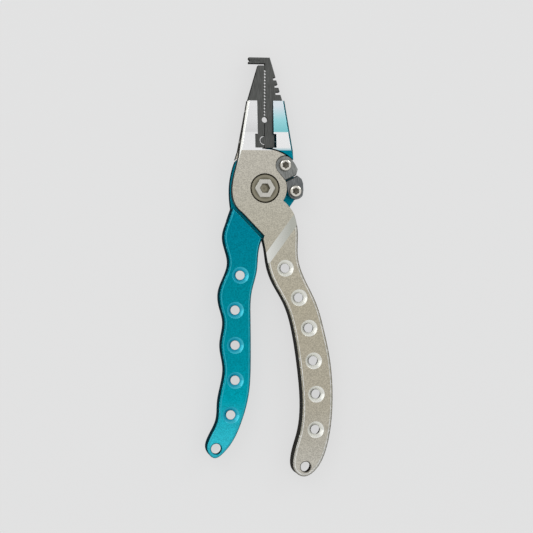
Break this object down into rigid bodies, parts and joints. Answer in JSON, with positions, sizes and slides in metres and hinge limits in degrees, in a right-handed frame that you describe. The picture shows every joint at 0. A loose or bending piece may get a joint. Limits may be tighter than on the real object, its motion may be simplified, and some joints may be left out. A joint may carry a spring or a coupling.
{
  "type": "fishing pliers",
  "caption": "Long fishing pliers with bowed perforated handles, toothed steel jaw inserts, a split-ring beak and side cutters on a pivot.",
  "frame": {"origin": "on the pivot's axis, in the plane of the rear face that the closed pliers lie on", "axes": "+Z out of the front face, +Y towards the nose, +X towards the side cutters"},
  "size_m": [0.0577, 0.1909, 0.0134],
  "materials": {
    "silver_aluminium": "bead-blasted and clear anodised, pale champagne silver",
    "teal_aluminium": "bead-blasted and anodised teal",
    "insert_steel": "dark coated stainless steel",
    "blade_steel": "ground dark cutter steel",
    "screw_steel": "stainless steel",
    "pivot_steel": "turned stainless steel",
    "badge_steel": "satin stainless steel",
    "bronze": "sintered bearing bronze"
  },
  "bodies": {
    "silver_side": {"silver_half": "silver_aluminium", "left_jaw_insert": "insert_steel", "left_insert_pins": "screw_steel", "upper_cutter_blade": "blade_steel", "upper_cutter_screw": "screw_steel", "upper_cutter_thread_insert": "screw_steel", "upper_cutter_dowel": "screw_steel", "pivot_bolt": "pivot_steel", "pivot_badge": "badge_steel", "pivot_nut": "pivot_steel", "disc_spring": "screw_steel", "lap_shim": "bronze"},
    "teal_side": {"teal_half": "teal_aluminium", "right_jaw_insert": "insert_steel", "right_insert_pins": "screw_steel", "lower_cutter_blade": "blade_steel", "lower_cutter_screw": "screw_steel", "lower_cutter_thread_insert": "screw_steel", "lower_cutter_dowel": "screw_steel", "pivot_bush": "bronze"}
  },
  "joints": [
    {"name": "pivot", "type": "hinge", "parent": "silver_side", "child": "teal_side", "pos_m": [0, 0, 0.006], "axis": [0, 0, -1], "range_deg": [0, 16]}
  ]
}
